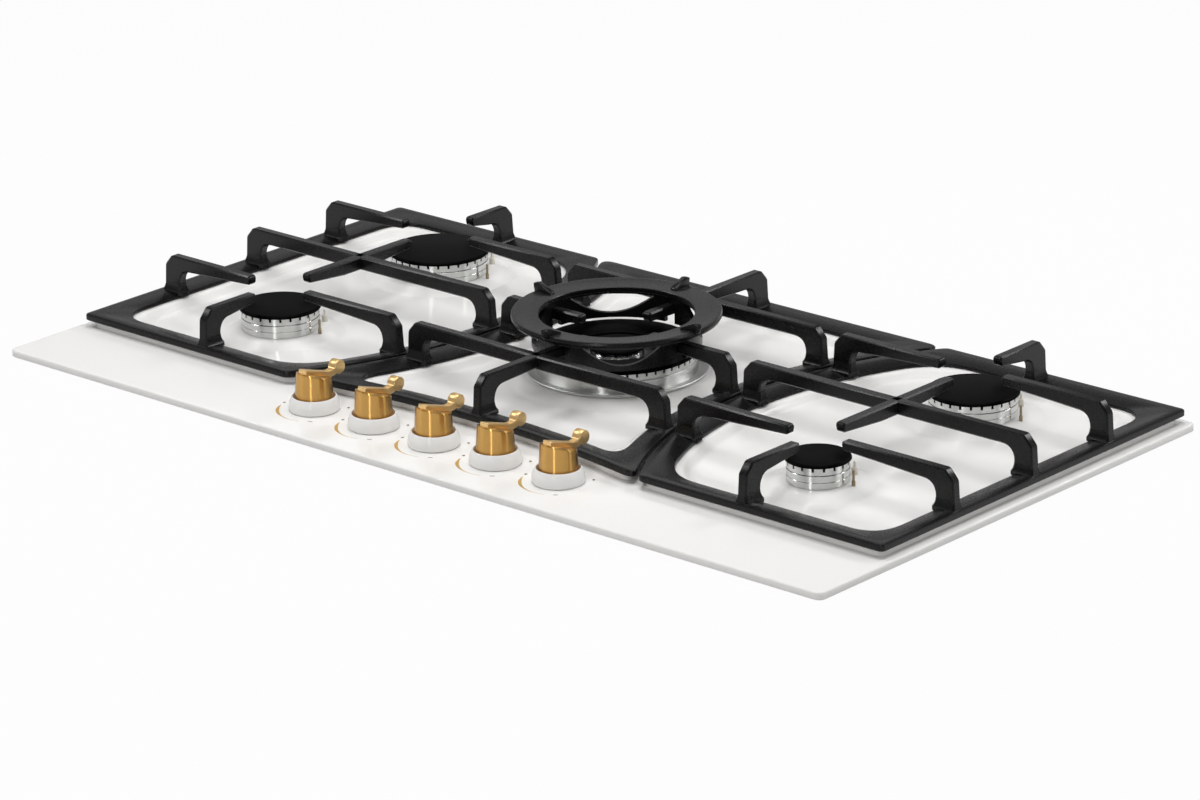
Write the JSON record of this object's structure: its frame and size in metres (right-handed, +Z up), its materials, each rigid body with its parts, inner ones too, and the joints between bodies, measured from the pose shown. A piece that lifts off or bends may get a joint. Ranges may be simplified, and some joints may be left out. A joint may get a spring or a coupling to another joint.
{
  "type": "gas cooktop",
  "caption": "Built-in gas cooktop: white enamelled plate, cast grates with curved seams, wok ring over a double-ring burner, round burners and a row of lever knobs at the front.",
  "frame": {"origin": "middle of the underside of the box, at the bottom of the bounding box", "axes": "+X to the right seen from the front, +Y to the rear, +Z up"},
  "size_m": [0.9, 0.486, 0.115],
  "materials": {
    "white_enamel": "glossy",
    "seal_rubber": "matte",
    "galvanised_steel": "satin",
    "cast_iron": "satin enamel",
    "aluminium": "satin",
    "black_enamel": "matte enamel",
    "ceramic": "glazed",
    "tap_brass": "satin",
    "knob_brass": "brushed",
    "module_plastic": "matte"
  },
  "bodies": {
    "cooktop": {"top_plate": "white_enamel", "seal_gasket": "seal_rubber", "bottom_box": "galvanised_steel", "burner_cup_front_left": "aluminium", "burner_cup_rear_left": "aluminium", "burner_cup_rear_right": "aluminium", "burner_cup_front_right": "aluminium", "burner_cup_wok": "aluminium", "spark_plug_front_left": "ceramic", "spark_plug_rear_left": "ceramic", "spark_plug_rear_right": "ceramic", "spark_plug_front_right": "ceramic", "spark_plug_wok": "ceramic", "thermocouple_front_left": "tap_brass", "thermocouple_rear_left": "tap_brass", "thermocouple_rear_right": "tap_brass", "thermocouple_front_right": "tap_brass", "thermocouple_wok": "tap_brass", "knob_collar_1": "white_enamel", "knob_collar_2": "white_enamel", "knob_collar_3": "white_enamel", "knob_collar_4": "white_enamel", "knob_collar_5": "white_enamel", "tap_1": "tap_brass", "tap_2": "tap_brass", "tap_3": "tap_brass", "tap_4": "tap_brass", "tap_5": "tap_brass", "gas_rail": "galvanised_steel", "ignition_module": "module_plastic", "cable_gland": "seal_rubber", "clamp_front_left": "galvanised_steel", "clamp_front_right": "galvanised_steel", "clamp_rear_left": "galvanised_steel", "clamp_rear_right": "galvanised_steel"},
    "grate_left": {"grate_left": "cast_iron"},
    "grate_centre": {"grate_centre": "cast_iron"},
    "grate_right": {"grate_right": "cast_iron"},
    "wok_ring": {"wok_ring": "cast_iron"},
    "crown_front_left": {"burner_crown_front_left": "aluminium"},
    "cap_front_left": {"burner_cap_front_left": "black_enamel"},
    "crown_rear_left": {"burner_crown_rear_left": "aluminium"},
    "cap_rear_left": {"burner_cap_rear_left": "black_enamel"},
    "crown_rear_right": {"burner_crown_rear_right": "aluminium"},
    "cap_rear_right": {"burner_cap_rear_right": "black_enamel"},
    "crown_front_right": {"burner_crown_front_right": "aluminium"},
    "cap_front_right": {"burner_cap_front_right": "black_enamel"},
    "crown_wok": {"burner_crown_wok": "aluminium"},
    "cap_wok": {"burner_cap_wok": "black_enamel"},
    "ring_cap_wok": {"burner_ring_cap_wok": "black_enamel"},
    "stem_1": {"tap_stem_1": "galvanised_steel"},
    "stem_2": {"tap_stem_2": "galvanised_steel"},
    "stem_3": {"tap_stem_3": "galvanised_steel"},
    "stem_4": {"tap_stem_4": "galvanised_steel"},
    "stem_5": {"tap_stem_5": "galvanised_steel"},
    "knob_1": {"knob_1": "knob_brass"},
    "knob_2": {"knob_2": "knob_brass"},
    "knob_3": {"knob_3": "knob_brass"},
    "knob_4": {"knob_4": "knob_brass"},
    "knob_5": {"knob_5": "knob_brass"}
  },
  "joints": [
    {"name": "grate_left_lift", "type": "slide", "parent": "cooktop", "child": "grate_left", "axis": [0, 0, 1], "range_m": [0, 0.1]},
    {"name": "grate_centre_lift", "type": "slide", "parent": "cooktop", "child": "grate_centre", "axis": [0, 0, 1], "range_m": [0, 0.1]},
    {"name": "grate_right_lift", "type": "slide", "parent": "cooktop", "child": "grate_right", "axis": [0, 0, 1], "range_m": [0, 0.1]},
    {"name": "wok_ring_lift", "type": "slide", "parent": "grate_centre", "child": "wok_ring", "axis": [0, 0, 1], "range_m": [0, 0.06]},
    {"name": "crown_front_left_lift", "type": "slide", "parent": "cooktop", "child": "crown_front_left", "axis": [0, 0, 1], "range_m": [0, 0.02]},
    {"name": "cap_front_left_lift", "type": "slide", "parent": "crown_front_left", "child": "cap_front_left", "axis": [0, 0, 1], "range_m": [0, 0.03]},
    {"name": "crown_rear_left_lift", "type": "slide", "parent": "cooktop", "child": "crown_rear_left", "axis": [0, 0, 1], "range_m": [0, 0.02]},
    {"name": "cap_rear_left_lift", "type": "slide", "parent": "crown_rear_left", "child": "cap_rear_left", "axis": [0, 0, 1], "range_m": [0, 0.03]},
    {"name": "crown_rear_right_lift", "type": "slide", "parent": "cooktop", "child": "crown_rear_right", "axis": [0, 0, 1], "range_m": [0, 0.02]},
    {"name": "cap_rear_right_lift", "type": "slide", "parent": "crown_rear_right", "child": "cap_rear_right", "axis": [0, 0, 1], "range_m": [0, 0.03]},
    {"name": "crown_front_right_lift", "type": "slide", "parent": "cooktop", "child": "crown_front_right", "axis": [0, 0, 1], "range_m": [0, 0.02]},
    {"name": "cap_front_right_lift", "type": "slide", "parent": "crown_front_right", "child": "cap_front_right", "axis": [0, 0, 1], "range_m": [0, 0.03]},
    {"name": "crown_wok_lift", "type": "slide", "parent": "cooktop", "child": "crown_wok", "axis": [0, 0, 1], "range_m": [0, 0.02]},
    {"name": "cap_wok_lift", "type": "slide", "parent": "crown_wok", "child": "cap_wok", "axis": [0, 0, 1], "range_m": [0, 0.03]},
    {"name": "ring_cap_wok_lift", "type": "slide", "parent": "crown_wok", "child": "ring_cap_wok", "axis": [0, 0, 1], "range_m": [0, 0.02]},
    {"name": "knob_1_turn", "type": "hinge", "parent": "cooktop", "child": "stem_1", "pos_m": [-0.136, -0.187, 0.052], "axis": [0, 0, 1], "range_deg": [0, 210]},
    {"name": "knob_2_turn", "type": "hinge", "parent": "cooktop", "child": "stem_2", "pos_m": [-0.068, -0.187, 0.052], "axis": [0, 0, 1], "range_deg": [0, 210]},
    {"name": "knob_3_turn", "type": "hinge", "parent": "cooktop", "child": "stem_3", "pos_m": [0, -0.187, 0.052], "axis": [0, 0, 1], "range_deg": [0, 210]},
    {"name": "knob_4_turn", "type": "hinge", "parent": "cooktop", "child": "stem_4", "pos_m": [0.068, -0.187, 0.052], "axis": [0, 0, 1], "range_deg": [0, 210]},
    {"name": "knob_5_turn", "type": "hinge", "parent": "cooktop", "child": "stem_5", "pos_m": [0.136, -0.187, 0.052], "axis": [0, 0, 1], "range_deg": [0, 210]},
    {"name": "knob_1_push", "type": "slide", "parent": "stem_1", "child": "knob_1", "axis": [0, 0, -1], "range_m": [0, 0.003], "stiffness_N_per_m": 1500, "springref_m": -0.003},
    {"name": "knob_2_push", "type": "slide", "parent": "stem_2", "child": "knob_2", "axis": [0, 0, -1], "range_m": [0, 0.003], "stiffness_N_per_m": 1500, "springref_m": -0.003},
    {"name": "knob_3_push", "type": "slide", "parent": "stem_3", "child": "knob_3", "axis": [0, 0, -1], "range_m": [0, 0.003], "stiffness_N_per_m": 1500, "springref_m": -0.003},
    {"name": "knob_4_push", "type": "slide", "parent": "stem_4", "child": "knob_4", "axis": [0, 0, -1], "range_m": [0, 0.003], "stiffness_N_per_m": 1500, "springref_m": -0.003},
    {"name": "knob_5_push", "type": "slide", "parent": "stem_5", "child": "knob_5", "axis": [0, 0, -1], "range_m": [0, 0.003], "stiffness_N_per_m": 1500, "springref_m": -0.003}
  ],
  "couplings": [
    {"joint": "crown_front_left_lift", "follows": "grate_left_lift", "ratio": 0.2},
    {"joint": "cap_front_left_lift", "follows": "grate_left_lift", "ratio": 0.3},
    {"joint": "crown_rear_left_lift", "follows": "grate_left_lift", "ratio": 0.2},
    {"joint": "cap_rear_left_lift", "follows": "grate_left_lift", "ratio": 0.3},
    {"joint": "crown_rear_right_lift", "follows": "grate_right_lift", "ratio": 0.2},
    {"joint": "cap_rear_right_lift", "follows": "grate_right_lift", "ratio": 0.3},
    {"joint": "crown_front_right_lift", "follows": "grate_right_lift", "ratio": 0.2},
    {"joint": "cap_front_right_lift", "follows": "grate_right_lift", "ratio": 0.3},
    {"joint": "crown_wok_lift", "follows": "grate_centre_lift", "ratio": 0.2},
    {"joint": "cap_wok_lift", "follows": "grate_centre_lift", "ratio": 0.3},
    {"joint": "ring_cap_wok_lift", "follows": "grate_centre_lift", "ratio": 0.2}
  ]
}
